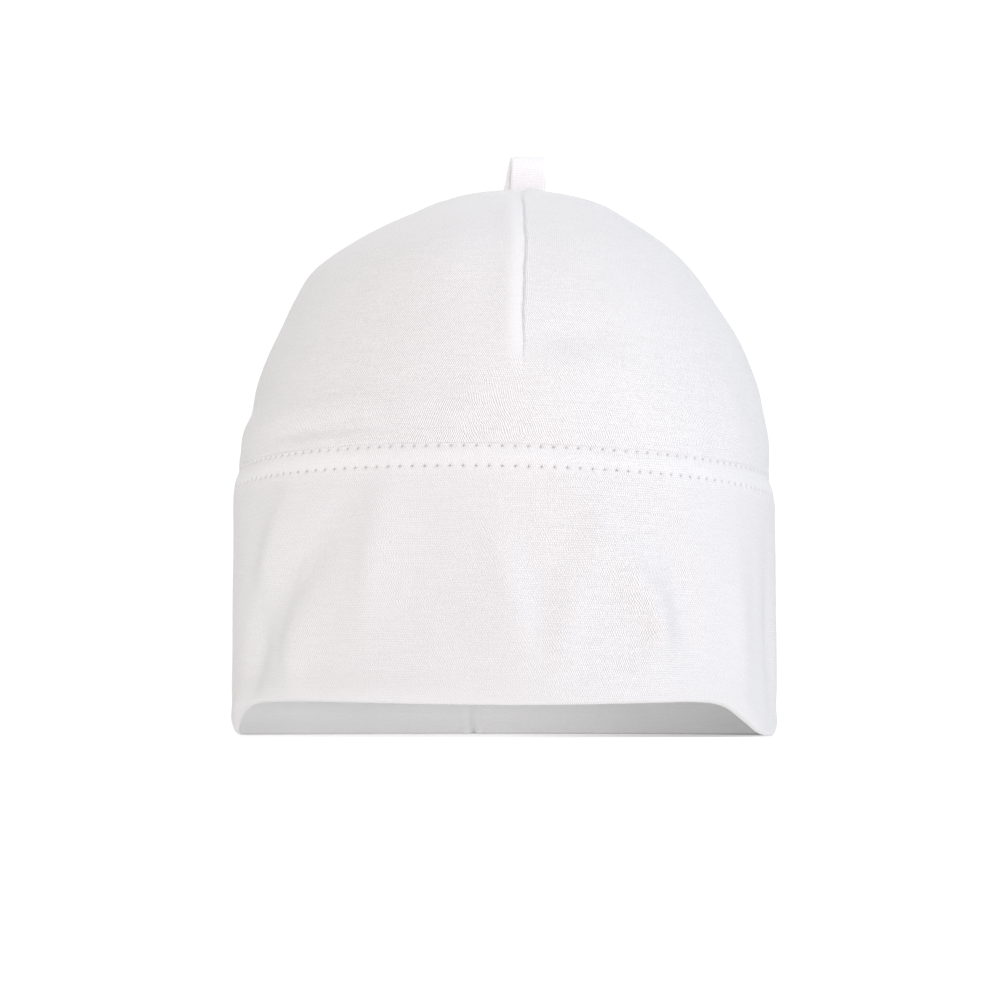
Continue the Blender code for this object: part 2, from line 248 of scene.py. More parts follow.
# The loop seen from its side: height and reach as shares of the loop's height and reach
Bend = namedtuple("Bend", "height reach")
LOOP_ROWS = (
    Bend(-0.08, 0.34), Bend(0.12, 0.46), Bend(0.30, 0.76), Bend(0.50, 0.96),
    Bend(0.68, 1.00), Bend(0.82, 0.86), Bend(0.93, 0.54), Bend(0.985, 0.22),
)

# Square lamps that point at the beanie: place in metres, power in watts, colour
Lamp = namedtuple("Lamp", "name x y z watts colour")
LAMPS = (
    Lamp("right", 0.998, -0.268, 0.441, 4.70, (0.86, 0.90, 1.00)),
    Lamp("left", -0.950, -0.240, 0.560, 2.70, (1.00, 0.96, 0.93)),
    Lamp("front", 0.0, -1.100, 0.084, 9.20, (1.00, 0.92, 0.945)),
    Lamp("top", 0.25, -0.160, 1.125, 4.05, (0.94, 1.00, 0.99)),
    Lamp("back_left", -0.825, 0.476, 0.615, 2.00, (1.00, 0.98, 0.96)),
    Lamp("back_right", 1.030, 0.375, 0.161, 0.45, (0.99, 0.99, 1.00)),
    Lamp("back", 0.0, 0.707, 0.908, 4.85, (0.98, 0.94, 1.00)),
)
LAMP_SIDE = 0.60
LAMP_AIM = (0.0, 0.0, 0.065)
CAMERA_PLACE = (-0.0009, -0.517, 0.002)

# The floor gives less light in an oval under the beanie: its middle's y, its half width and
# depth, the share of the way out at which its soft edge starts, how far right of the middle the
# floor is darkest, and the share of light left there
SHADE_MIDDLE = 0.006
SHADE_WIDE = 0.0615
SHADE_DEEP = 0.0640
SHADE_EDGE = 0.93
SHADE_RIGHT = 0.060
SHADE_LIGHT = 0.25


def length(name, default, description):
    """A setting that is a length in metres."""
    return FloatProperty(name=name, description=description, default=default, unit="LENGTH")


class BeanieSizes(bpy.types.PropertyGroup):
    """Sizes of the cloth, its seams and its stitches."""
    cloth: length("Cloth", 0.00102, "Thickness of one layer of the band's jersey")
    seam_cloth: length("Cloth at the seam", 0.00030,
                       "Thickness of the outer layer where it is sewn flat")
    crown_cloth: length("Crown cloth", 0.0011, "Thickness of the crown's jersey")
    rim_cloth: length("Cloth at the rim", 0.00055,
                      "Thickness of one layer where it is folded sharply")
    layer_gap: length("Layer gap", 0.00014, "Air between the band's two layers")
    rim_lift: length("Rim lift", 0.0070, "How far the front of the rim stands up")
    waist_depth: length("Waist depth", 0.0012, "How far the stitched seam draws the cloth in")
    waist_reach: length("Waist reach", 0.0056, "Height of the band that the seam draws in")
    curl_depth: length("Curl depth", 0.0009, "How far the folded rim curls in")
    curl_reach: length("Curl reach", 0.0050, "Height of the band that curls in")
    fold_relief: length("Fold relief", 0.0012, "Height of the soft folds")
    dart_drop: length("Dart drop", 0.0508, "Height over which each dart runs")
    dart_depth: length("Dart depth", 0.00035, "Depth of the crease of a dart")
    dart_lip: length("Dart lip", 0.0004, "Height of the lip beside a dart")
    dart_roll: length("Dart roll", 0.0005, "How far the cloth on a dart's left rolls in at it")
    dart_hump: length("Dart hump", 0.0007, "Height of the gathered cloth beside a dart's top")
    dart_allowance: length("Dart allowance", 0.0010,
                           "How far the sewn fold of a dart stands inside")
    stitch_pitch: length("Stitch", 0.0026, "Length of one stitch of the rows")
    row_drop: length("First row", 0.0006, "Drop from the seam to the upper row")
    row_gap: length("Row gap", 0.0041, "Distance between the two rows")
    hole_radius: length("Needle hole", 0.00023, "Radius of a needle hole")
    hole_depth: length("Hole depth", 0.00045, "Depth of a needle hole")
    thread: length("Thread", 0.00022, "Thickness of the sewing thread")
    loop_cloth: length("Loop cloth", 0.0012, "Thickness of the folded strip")
    loop_reach: length("Loop reach", 0.0018, "Half the distance between its legs")
    loop_width: length("Loop width", 0.0078, "Width of the loop's strip")
    loop_skew: length("Loop skew", 0.0015, "How far the loop's back leg stands to the left")
    loop_turn: FloatProperty(name="Loop turn", description="Turn of the loop seen from above",
                             default=math.radians(8), subtype="ANGLE")
    wale: length("Wale", 0.00046, "Width of one knitted column")
    course: length("Course", 0.00048, "Height of one knitted row")


class BeanieColours(bpy.types.PropertyGroup):
    """Colours and finish of the jersey and the thread."""
    jersey: FloatVectorProperty(name="Jersey", description="Colour of the raised loops of yarn",
                                default=(0.98, 0.98, 0.98), subtype="COLOR")
    # Painted shade between the loops of yarn
    valley: FloatVectorProperty(name="Valley", description="Colour between the loops of yarn",
                                default=(0.44, 0.44, 0.44), subtype="COLOR")
    # Painted shade down in a needle hole and in a dart's crease
    hole: FloatVectorProperty(name="Needle hole", description="Colour down in a needle hole",
                              default=(0.22, 0.21, 0.20), subtype="COLOR")
    thread: FloatVectorProperty(name="Thread", description="Colour of the sewing thread",
                                default=(0.90, 0.90, 0.90), subtype="COLOR")
    relief: length("Knit relief", 0.00003, "Height of the knit in the finish")


class StageSettings(bpy.types.PropertyGroup):
    """Light, floor and camera."""
    sky: FloatProperty(name="Sky", description="Strength of the even white light", default=0.12)
    floor_glow: FloatProperty(name="Floor glow", description="Light given off by the floor",
                              default=0.756)
    floor_radius: length("Floor", 0.65, "Radius of the floor")
    lens: FloatProperty(name="Lens", description="Focal length of the camera in mm",
                        default=83.16)
    tilt: FloatProperty(name="Tilt", description="How far the camera looks up",
                        default=math.radians(5.6), subtype="ANGLE")


def read_rows(rows, places):
    """Read a table whose first column is the place, with smooth curves between its rows."""
    table = np.array(rows, float)
    knots, values = table[:, 0], table[:, 1:]
    steps = np.arange(len(knots))
    ahead = np.minimum(steps + 1, len(knots) - 1)
    behind = np.maximum(steps - 1, 0)
    slopes = (values[ahead] - values[behind]) / (knots[ahead] - knots[behind])[:, None]
    place = np.clip(places, knots[0], knots[-1])
    low = np.clip(np.searchsorted(knots, place, side="right") - 1, 0, len(knots) - 2)
    span = (knots[low + 1] - knots[low])[..., None]
    t = (place - knots[low])[..., None] / span
    start = values[low] * (1 + 2 * t) * (1 - t) ** 2 + slopes[low] * span * t * (1 - t) ** 2
    end = values[low + 1] * t * t * (3 - 2 * t) - slopes[low + 1] * span * t * t * (1 - t)
    return start + end


def turn_between(angles, other):
    """Signed angle in degrees from other to each angle, the short way round."""
    return (angles - other + 180.0) % 360.0 - 180.0


def oval(angles, wide, deep, square):
    """Points on an oval section, as x and y."""
    side, ahead = np.sin(np.radians(angles)), np.cos(np.radians(angles))
    power = 2.0 / square
    return (wide * np.sign(side) * np.abs(side) ** power,
            -deep * np.sign(ahead) * np.abs(ahead) ** power)


def band_oval(angles):
    """Points on the outer face of the band, as x and y."""
    return oval(angles, HALF_WIDTH, HALF_DEPTH, OVAL_EXPONENT)


def walked(*coordinates):
    """Distances walked along a line of points, from 0 at its start."""
    steps = np.sqrt(sum(np.diff(values) ** 2 for values in coordinates))
    return np.concatenate([[0.0], np.cumsum(steps)])


def outward(angles):
    """Unit directions out of the oval of the band."""
    x, y = np.sin(np.radians(angles)) / HALF_WIDTH, -np.cos(np.radians(angles)) / HALF_DEPTH
    size = np.hypot(x, y)
    return x / size, y / size


def around(angles, other):
    """Distance round the band from one angle to others."""
    return np.radians(turn_between(angles, other)) * (HALF_WIDTH + HALF_DEPTH) / 2


def bump(distance, width):
    """A smooth bump, 1 at no distance and close to nothing past twice its half width."""
    return np.exp(-(distance / width) ** 2)


def ridge(distance, *shapes):
    """Rise of the cloth at distances from a line, in the unit of the shapes' own rise."""
    return sum(shape.rise * bump(distance - shape.off * MM, shape.width * MM) for shape in shapes)


def patch(angles, where):
    """How much more something shows at angles round the head."""
    return where.more * bump(turn_between(angles, where.angle), where.width)


def ease(values, start, end):
    """A smooth step from 0 at start to 1 at end."""
    t = np.clip((values - start) / (end - start), 0.0, 1.0)
    return t * t * (3 - 2 * t)


def fold_rise(folds, extent, angles, heights):
    """Rise of the cloth from a table of folds, each a soft ridge or hollow on a leaning line."""
    total = np.zeros(np.broadcast(angles, heights).shape)
    for fold in folds:
        across = around(angles, fold.angle)
        up = (heights - fold.height) * extent
        lean = math.radians(fold.lean)
        along = up * math.cos(lean) + across * math.sin(lean)
        off = across * math.cos(lean) - up * math.sin(lean)
        total += fold.rise * bump(off, fold.width * extent) * bump(2 * along, fold.length * extent)
    return total


def crumple(points, pattern):
    """Smooth random rise at points, up and down, in the unit of the pattern's own rise."""
    size, seed = pattern.size * MM, pattern.seed
    shift = Vector((seed, 1.7 * seed, 0.6 * seed))
    values = [noise.noise(Vector(point) / size + shift) for point in points.reshape(-1, 3)]
    return pattern.rise * np.array(values).reshape(points.shape[:-1])


def oval_arcs():
    """Angles round the band at fine steps, with the distance walked from the back seam."""
    angles = np.linspace(BACK_SEAM_ANGLE, BACK_SEAM_ANGLE + 360.0, 7201)
    return angles, walked(*band_oval(angles))


def seam_heights(angles):
    """Height of the seam between band and crown."""
    return SEAM_HEIGHT - SEAM_LEAN * band_oval(angles)[0]


def rim_heights(angles, lift):
    """Height of the rim over the surface that the beanie stands on."""
    return lift * np.maximum(0.0, read_rows(RIM_ROWS, turn_between(angles, 0.0))[..., 0])


def drawn_in(sizes, up, drop):
    """How far the band is drawn in at heights above its rim and drops below its seam."""
    waist = np.clip(1.0 - drop / sizes.waist_reach, 0.0, 1.0)
    curl = np.clip(1.0 - up / sizes.curl_reach, 0.0, 1.0)
    return sizes.waist_depth * waist ** 2 * (3 - 2 * waist) + sizes.curl_depth * curl ** 2


def band_points(sizes, angles, heights, insets, crinkled=True):
    """Points of the band's cloth at heights over the floor, inset from its outer face."""
    bottom, top = rim_heights(angles, sizes.rim_lift), seam_heights(angles)
    up, drop = heights - bottom, top - heights
    share = np.clip(up / (top - bottom), 0.0, 1.0)
    x, y = band_oval(angles)
    out_x, out_y = outward(angles)
    rise = sizes.fold_relief * fold_rise(BAND_FOLDS, SEAM_HEIGHT, angles, share)
    rise *= np.sin(math.pi * share) ** 0.5
    if crinkled:
        place = np.stack(np.broadcast_arrays(x, y, heights), axis=-1)
        rise = rise + crinkles(place, drop, up)
    off = rise + MM * ridge(up, *RIM_ROLL) - insets - drawn_in(sizes, up, drop)
    return np.stack(np.broadcast_arrays(x + out_x * off, y + out_y * off, heights), axis=-1)


def crinkles(place, drop, up):
    """Faint crumples all over, and short upright puckers under the stitching."""
    puckers = crumple(place * np.array([1.0, 1.0, 0.35]), BAND_PUCKERS)
    puckers = puckers * bump(drop - 7.5 * MM, 4.5 * MM)
    rise = MM * (crumple(place, BAND_CRUMPLES) + puckers)
    return rise * np.clip(up / (4.0 * MM), 0.0, 1.0)


def new_piece(name, points, faces, uv=None):
    """A smooth piece of points and faces, with the flat cloth's coordinates at its corners."""
    mesh = bpy.data.meshes.new(name)
    mesh.from_pydata(points.reshape(-1, 3).tolist(), [], faces)
    if uv is not None:
        mesh.uv_layers.new(name="cloth").data.foreach_set("uv", uv.ravel())
    mesh.shade_smooth()
    piece = bpy.data.objects.new(name, mesh)
    bpy.context.scene.collection.objects.link(piece)
    return piece


def woven(name, points, across, along, closed=False):
    """A piece of cloth through rings of points, with the flat cloth's own coordinates as UV.
    across has the two sides of each column of faces, along is the length at each ring. The
    rings of a closed piece join up, and the ends of an open one close at a pole."""
    rings, columns = points.shape[:2]
    grid = np.arange(rings * columns).reshape(rings, columns)
    beside = np.roll(grid, -1, axis=1)
    left, right = across
    low = np.arange(rings if closed else rings - 1)
    high = (low + 1) % rings
    faces = np.stack([grid[low], beside[low], beside[high], grid[high]], axis=-1)
    u = np.stack([left[low], right[low], right[high], left[high]], axis=-1)
    ends = along[np.stack([low, low, low + 1, low + 1], axis=-1)]
    uv = np.stack([u, np.broadcast_to(ends[:, None], u.shape)], axis=-1).reshape(-1, 2)
    faces = faces.reshape(-1, 4).tolist()
    points = points.reshape(-1, 3)
    if not closed:
        pole = len(points)
        points = np.vstack([points, points[:columns].mean(axis=0), points[-columns:].mean(axis=0)])
        caps = []
        for i in range(columns):
            for side, ring, pair in ((0, 0, (beside, grid)), (1, -1, (grid, beside))):
                faces.append([pole + side] + [int(corners[ring, i]) for corners in pair])
                flat = (right[0, i], left[0, i]) if side == 0 else (left[-1, i], right[-1, i])
                caps += [(place, along[ring]) for place in (sum(flat) / 2, *flat)]
        uv = np.vstack([uv, caps])
    return new_piece(name, points, faces, uv)


def strip(name, points, flat, thickness):
    """A piece of cloth through an open grid of points, given its thickness on both sides. flat
    has the flat cloth's own coordinates at each point."""
    rows, columns = points.shape[:2]
    grid = np.arange(rows * columns).reshape(rows, columns)
    faces = np.stack([grid[:-1, :-1], grid[:-1, 1:], grid[1:, 1:], grid[1:, :-1]], axis=-1)
    faces = faces.reshape(-1, 4)
    piece = new_piece(name, points, faces.tolist(), flat.reshape(-1, 2)[faces.ravel()])
    wall = piece.modifiers.new("wall", "SOLIDIFY")
    wall.thickness = thickness
    wall.offset = 0.0
    apply_modifiers(piece)
    return piece


def apply_modifiers(piece):
    """Apply a piece's modifiers in order."""
    bpy.ops.object.select_all(action="DESELECT")
    piece.select_set(True)
    bpy.context.view_layer.objects.active = piece
    for name in [modifier.name for modifier in piece.modifiers]:
        bpy.ops.object.modifier_apply(modifier=name)


def mark(piece, name, values):
    """Store a number for each point of a piece, for its finish to read."""
    padded = np.zeros(len(piece.data.vertices))
    padded[:values.size] = values.ravel()
    layer = piece.data.attributes.new(name, "FLOAT", "POINT")
    layer.data.foreach_set("value", padded)


def take_model():
    """Points and faces of the small model just added, which is then removed."""
    bpy.ops.object.transform_apply(location=False, rotation=True, scale=False)
    piece = bpy.context.object
    mesh = piece.data
    points = np.array([vertex.co[:] for vertex in mesh.vertices])
    faces = [list(face.vertices) for face in mesh.polygons]
    bpy.data.objects.remove(piece)
    bpy.data.meshes.remove(mesh)
    return points, faces


def stitch_model(thickness):
    """One stitch of thread: a small ball drawn out along X to a length of 1, with blunt ends.
    Places along, across and up, and faces."""
    bpy.ops.object.select_all(action="DESELECT")
    bpy.ops.mesh.primitive_uv_sphere_add(segments=8, ring_count=7, radius=0.5,
                                         rotation=(0.0, math.pi / 2, 0.0))
    points, faces = take_model()
    along = 0.5 * np.sign(points[:, 0]) * np.abs(2 * points[:, 0]) ** 0.6
    return (along, points[:, 1] * thickness, points[:, 2] * thickness), faces


def whip_model(reach_up, reach_out, thickness):
    """One turn of thread round a raw edge, an upright ring with reaches up and out. Places
    along, out and up, and faces."""
    bead = 0.25
    bpy.ops.object.select_all(action="DESELECT")
    bpy.ops.mesh.primitive_torus_add(major_segments=12, minor_segments=5, major_radius=1.0,
                                     minor_radius=bead, rotation=(0.0, math.pi / 2, 0.0))
    points, faces = take_model()
    ring = points[:, 1:] / np.linalg.norm(points[:, 1:], axis=1)[:, None]
    scale = thickness / (2 * bead)
    out, up = (ring * np.array([reach_out, reach_up]) + (points[:, 1:] - ring) * scale).T
    return (points[:, 0] * scale, out, up), faces


def sewn(name, points, faces):
    """One piece of many copies of a model: points has the model's points for each copy."""
    copies, size = points.shape[:2]
    polygons = [[corner + size * i for corner in face] for i in range(copies) for face in faces]
    return new_piece(name, points, polygons)


class Finish:
    """A material under construction, with short ways to add its nodes."""

    def __init__(self, name):
        self.material = bpy.data.materials.new(name)
        self.material.use_nodes = True
        self.nodes = self.material.node_tree.nodes
        self.links = self.material.node_tree.links
        self.shader = self.nodes["Principled BSDF"]

    def add(self, kind, **values):
        """A new node with some of its own settings."""
        node = self.nodes.new(kind)
        for key, value in values.items():
            setattr(node, key, value)
        return node

    def join(self, start, end):
        """A link from an output to a socket."""
        self.links.new(start, end)

    def fix(self, **values):
        """Fixed values on the shader's sockets, named with _ for each space."""
        for name, value in values.items():
            self.shader.inputs[name.replace("_", " ")].default_value = value

    def place(self):
        """Place on the piece."""
        return self.add("ShaderNodeTexCoord").outputs["Object"]

    def parts(self, vector):
        """The three parts of a vector."""
        node = self.add("ShaderNodeSeparateXYZ")
        self.join(vector, node.inputs[0])
        return node.outputs

    def math(self, operation, first, second=None, third=None):
        """A math node of up to three values, each a number or another node's output."""
        node = self.add("ShaderNodeMath", operation=operation)
        for slot, value in zip(node.inputs, (first, second, third)):
            if value is None:
                continue
            if isinstance(value, (int, float)):
                slot.default_value = value
            else:
                self.join(value, slot)
        return node.outputs[0]

    def plus(self, first, second):
        """The sum of two values."""
        return self.math("ADD", first, second)

    def times(self, first, *others):
        """The product of values."""
        for value in others:
            first = self.math("MULTIPLY", first, value)
        return first

    def noise(self, vector, scale, detail=2.0):
        """Smooth noise at a scale, on a vector."""
        node = self.add("ShaderNodeTexNoise")
        node.inputs["Scale"].default_value = scale
        node.inputs["Detail"].default_value = detail
        self.join(vector, node.inputs["Vector"])
        return node.outputs["Fac"]

    def uneven(self, vector, scale, amount, detail=1.0):
        """Smooth noise round 0, by half an amount up and down."""
        return self.math("MULTIPLY_ADD", self.noise(vector, scale, detail), amount, -amount / 2)

    def mapped(self, vector, scale, shift=(0.0, 0.0, 0.0)):
        """A vector stretched by a scale and then moved on each axis."""
        node = self.add("ShaderNodeMapping")
        node.inputs["Scale"].default_value = scale
        node.inputs["Location"].default_value = shift
        self.join(vector, node.inputs["Vector"])
        return node.outputs[0]

    def marked(self, name):
        """A number that is stored on the piece's points."""
        return self.add("ShaderNodeAttribute", attribute_name=name).outputs["Fac"]

    def range(self, value, low, high, to_low, to_high):
        """A value moved from one range to another and kept inside it."""
        node = self.add("ShaderNodeMapRange")
        for slot, number in zip(list(node.inputs)[1:5], (low, high, to_low, to_high)):
            slot.default_value = number
        self.join(value, node.inputs[0])
        return node.outputs[0]

    def blend(self, factor, low, high):
        """A mix of two colours, each a colour or another node's output."""
        node = self.add("ShaderNodeMix", data_type="RGBA")
        self.join(factor, node.inputs[0])
        for slot, value in ((node.inputs[6], low), (node.inputs[7], high)):
            if hasattr(value, "is_linked"):
                self.join(value, slot)
            else:
                slot.default_value = (*value, 1.0)
        return node.outputs[2]

    def emboss(self, height, strength, distance):
        """Bumps of a height on the surface."""
        node = self.add("ShaderNodeBump")
        node.inputs["Strength"].default_value = strength
        node.inputs["Distance"].default_value = distance
        self.join(height, node.inputs["Height"])
        self.join(node.outputs[0], self.shader.inputs["Normal"])


def knit_wave(cloth, u, v, slant):
    """Slanting strokes of yarn, broken by the knitted rows. slant is how far a stroke moves
    sideways over one row, in columns."""
    sizes = bpy.context.scene.beanie_sizes
    wales = cloth.times(u, TURN / sizes.wale)
    courses = cloth.times(v, TURN / sizes.course)
    strokes = cloth.math("SINE", cloth.math("MULTIPLY_ADD", courses, slant, wales))
    rows = cloth.math("MULTIPLY_ADD", cloth.math("SINE", courses), 0.40, 0.75)
    return cloth.times(strokes, rows)


def jersey(name, strokes, rows, ribs):
    """White cotton jersey. Slanting strokes of yarn, level rows and upright ribs show through in
    patches, as strongly as strokes, rows and ribs say, and single yarns vary a little. The dark
    between the loops is painted shade of the yarn's relief, and a needle hole or a dart's crease
    gets painted shade. The piece's marks say which way the strokes lean (lean), where the ribs
    always show (edge), how clearly the yarn and its painted shade show (knit), how much painted
    light makes the cloth paler (pale) and how much painted shade lies in a hole or a crease
    (hole)."""
    sizes, colours = bpy.context.scene.beanie_sizes, bpy.context.scene.beanie_colours
    cloth = Finish(name)
    uv = cloth.add("ShaderNodeUVMap", uv_map="cloth").outputs[0]
    place = cloth.place()
    parts = cloth.parts(uv)
    drift = cloth.uneven(place, DRIFT_SCALE, YARN_DRIFT, 2.0)
    u, v = cloth.plus(parts[0], drift), cloth.plus(parts[1], drift)

    lean = cloth.marked("lean")
    left = cloth.times(knit_wave(cloth, u, v, LEAN_LEFT), cloth.math("SQRT", lean))
    right = cloth.times(knit_wave(cloth, u, v, LEAN_RIGHT),
                        cloth.math("SQRT", cloth.math("SUBTRACT", 1.0, lean)))
    wave = cloth.plus(left, right)
    patches = cloth.noise(place, PATCH_SCALE, 1.0)
    height = cloth.times(wave, strokes, cloth.range(patches, 0.36, 0.62, 0.70, 1.0))

    level = cloth.math("SINE", cloth.times(v, TURN / sizes.course))
    level = cloth.times(level, rows, cloth.range(patches, 0.35, 0.65, 1.0, 0.3))
    upright = cloth.math("SINE", cloth.times(u, TURN / sizes.wale))
    edge = cloth.times(cloth.marked("edge"), 0.7)
    patches = cloth.range(cloth.noise(place, RIB_PATCH_SCALE, 1.0), 0.40, 0.65, 0.15, 1.0)
    upright = cloth.times(upright, ribs, cloth.math("MAXIMUM", patches, edge))
    height = cloth.plus(height, cloth.plus(level, upright))

    yarn = cloth.uneven(cloth.mapped(uv, YARN_SCALE), 1.0, 0.4)
    grain = cloth.uneven(place, GRAIN_SCALE, 1.0)
    height = cloth.times(cloth.plus(height, cloth.plus(yarn, grain)), cloth.marked("knit"))
    palest = 0.9
    # The pale mark lightens the colour with painted light
    pale = cloth.math("MULTIPLY_ADD", cloth.marked("pale"), palest, height)
    shade = cloth.range(pale, -palest, palest, 0.0, 1.0)
    # Painted shade between the loops of yarn, from the valley colour
    colour = cloth.blend(shade, colours.valley, colours.jersey)
    # Painted shade in needle holes and dart creases, from the hole colour
    colour = cloth.blend(cloth.marked("hole"), colour, colours.hole)
    cloth.join(colour, cloth.shader.inputs["Base Color"])
    cloth.emboss(height, 0.8, colours.relief)
    cloth.fix(Roughness=0.95, Sheen_Weight=0.1, Sheen_Roughness=0.6, Specular_IOR_Level=0.15)
    return cloth.material


def thread_finish(name):
    """White sewing thread, a little fuzzy."""
    colours = bpy.context.scene.beanie_colours
    thread = Finish(name)
    fuzz = thread.noise(thread.place(), FUZZ_SCALE)
    low = tuple(0.85 * part for part in colours.thread)
    thread.join(thread.blend(fuzz, low, colours.thread), thread.shader.inputs["Base Color"])
    thread.emboss(fuzz, 0.5, 0.03 * MM)
    thread.fix(Roughness=0.7, Sheen_Weight=0.1)
    return thread.material


def join_frame(piece, slot, material, *nodes):
    """Give a finished piece its material, its body and the solids it stands for. slot is not used.
    """
    piece.data.materials.clear()
    piece.data.materials.append(material)
    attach(piece, BODY)
    if nodes:
        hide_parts(*nodes)


def stitch_arcs(sizes):
    """Distance round the band of each needle hole from the back seam, and a stitch's length."""
    girth = oval_arcs()[1][-1]
    count = round(girth / sizes.stitch_pitch)
    pitch = girth / count
    return (np.arange(count) + FIRST_HOLE) * pitch, pitch


def angles_at(arcs):
    """Angles of places at distances round the band from the back seam."""
    angles, distances = oval_arcs()
    return np.interp(arcs % distances[-1], distances, angles)


def band_profile(sizes, bottom, top):
    """Closed profile of the folded cloth at each column, as heights, insets, and whether it
    shows outside: up the outer layer, down behind it, up the inner layer and down the inside."""
    cloth, gap = sizes.cloth, sizes.layer_gap
    edge = sizes.rim_cloth + gap / 2
    low = bottom + edge
    inner_top = top - 3.1 * MM
    rows = []

    def add(height, inset, shown=0.0):
        rows.append((height, inset + 0.0 * bottom, shown))

    def bend(degrees, middle, up, inset, out, shown=0.0):
        for turn in np.radians(degrees):
            add(middle + up * math.sin(turn), inset + out * (1 - math.cos(turn)), shown)

    def layer(height):
        return sizes.rim_cloth + (cloth - sizes.rim_cloth) * ease(height - low, 0.0, 9.0 * MM)

    def thinned(drop):
        return sizes.seam_cloth + (cloth - sizes.seam_cloth) * ease(drop, 0.0, 2.4 * MM)

    upper, lower = sizes.row_drop, sizes.row_drop + sizes.row_gap
    close = sizes.hole_radius
    drops = [lower + step * MM for step in (2.5, 1.7, 1.1, 0.7)]
    drops += [lower + close, lower, lower - close]
    drops += list(np.linspace(lower - 0.7 * MM, upper + 0.7 * MM, 5))
    drops += [upper + close, upper, upper - close]
    for share in np.linspace(0.0, 1.0, 40):
        add(low + (top - drops[0] - 0.9 * MM - low) * share, 0.0, 1.0)
    for drop in drops:
        add(top - drop, 0.0, 1.0)
    crest = sizes.seam_cloth / 2
    bend((30, 90, 150), top - crest, crest, 0.0, crest)
    for drop in (0.35 * MM, 0.8 * MM, 1.3 * MM, 1.9 * MM, 2.5 * MM):
        add(top - drop, thinned(drop))
    for share in (0.3, 0.6, 0.8, 0.9, 0.96, 1.0):
        height = top - 2.5 * MM + (low - top + 2.5 * MM) * share
        add(height, layer(height))
    bend((60, 120), low, -gap / 2, sizes.rim_cloth, gap / 2)
    for share in (0.0, 0.04, 0.1, 0.2, 0.45, 0.7, 0.97):
        height = low + (inner_top - low) * share
        add(height, layer(height) + gap)
    bend((30, 90, 150), inner_top, 0.3 * cloth, cloth + gap, cloth / 2)
    for share in np.linspace(1.0, 0.0, 26):
        height = low + (inner_top - low) * share
        add(height, 2 * layer(height) + gap, -1.0)
    bend((22, 45, 67, 90, 113, 135, 158), low, -edge, 2 * edge, -edge, 0.5)
    heights, insets, shown = (np.array([row[i] for row in rows]) for i in range(3))
    return heights, insets, shown


class BEANIE_OT_folded_band(bpy.types.Operator):
    """Make the folded double band with its needle holes and soft folds"""
    bl_idname = "beanie.folded_band"
    bl_label = "Folded band"

    def execute(self, context):
        sizes = context.scene.beanie_sizes
        holes, pitch = stitch_arcs(sizes)
        close = sizes.hole_radius
        offsets = np.array([-close, 0.0, close, 0.36 * pitch, 0.62 * pitch])
        arcs = (holes[:, None] + offsets).ravel()
        girth = pitch * len(holes)
        angles = angles_at(arcs)
        bottom, top = rim_heights(angles, sizes.rim_lift), seam_heights(angles)
        heights, insets, shown = band_profile(sizes, bottom, top)
        up, drop = heights - bottom, top - heights
        front = np.clip(shown, 0.0, 1.0)[:, None]
        faced = np.where(shown >= 0, 1.0, -1.0)[:, None]
        relief, hole_shade = self.stitching(sizes, arcs, drop, pitch)
        seam_off = np.minimum(arcs, girth - arcs)
        rise = relief * front + MM * ridge(seam_off, *BACK_SEAM) * faced
        points = band_points(sizes, angles, heights, insets - rise)
        left = np.broadcast_to(arcs, heights.shape)
        right = np.broadcast_to(np.append(arcs[1:], arcs[0] + girth), heights.shape)
        middle = len(arcs) // 2
        along = walked(*(np.append(path[:, middle], path[0, middle]) for path in (heights, insets)))
        band = woven("folded_band", points, (left, right), along, closed=True)
        # Painted shade down in the needle holes
        mark(band, "hole", hole_shade * front)
        mark(band, "edge", (1.0 - ease(up, 2.6 * MM, 4.4 * MM)) * (front > 0))
        mark(band, "lean", 0.5 + 0.5 * np.sin(np.radians(3 * angles + 90)) + 0 * heights)
        clear = BAND_KNIT + patch(angles, BAND_PATCH)
        clear = clear * (0.7 + 0.3 * ease(up, 2.6 * MM, 6.0 * MM))
        mark(band, "knit", np.where(shown[:, None] > 0, clear, INNER_BAND_KNIT))
        # Painted light: paler on the dim inside, and over the sewn zone between the rows to lift
        # the shade of the drawn-in waist, more so on the left
        seam_light_mask = bump(drop - sizes.row_drop - sizes.row_gap / 2, 2.8 * MM) * front
        inside = np.clip(-shown, 0.0, 1.0)[:, None]
        pale = INNER_PALE * inside + seam_light_mask * (SEAM_PALE + patch(angles, SEAM_PATCH))
        mark(band, "pale", pale)
        join_frame(band, "band_jersey", jersey("band_jersey_cloth", 0.75, 0.22, 0.22), "band")
        return {"FINISHED"}

    def stitching(self, sizes, arcs, drop, pitch):
        """Relief of the two rows of stitches: a pressed channel, a soft pad between the rows
        and a needle hole at each stitch. Also how much painted shade each point gets in a hole."""
        middle = sizes.row_drop + sizes.row_gap / 2
        relief = MM * ridge(drop - middle, ROW_PAD)
        hole_shade = np.zeros(drop.shape)
        phase = (arcs / pitch - FIRST_HOLE) % 1.0
        aside = np.minimum(phase, 1.0 - phase) * pitch
        for row in (sizes.row_drop, sizes.row_drop + sizes.row_gap):
            off = np.hypot(aside[None, :], drop - row)
            relief += MM * ridge(drop - row, ROW_CHANNEL)
            relief -= sizes.hole_depth * bump(off, sizes.hole_radius)
            hole_shade = np.maximum(hole_shade, bump(off, 0.8 * sizes.hole_radius))
        return relief, hole_shade


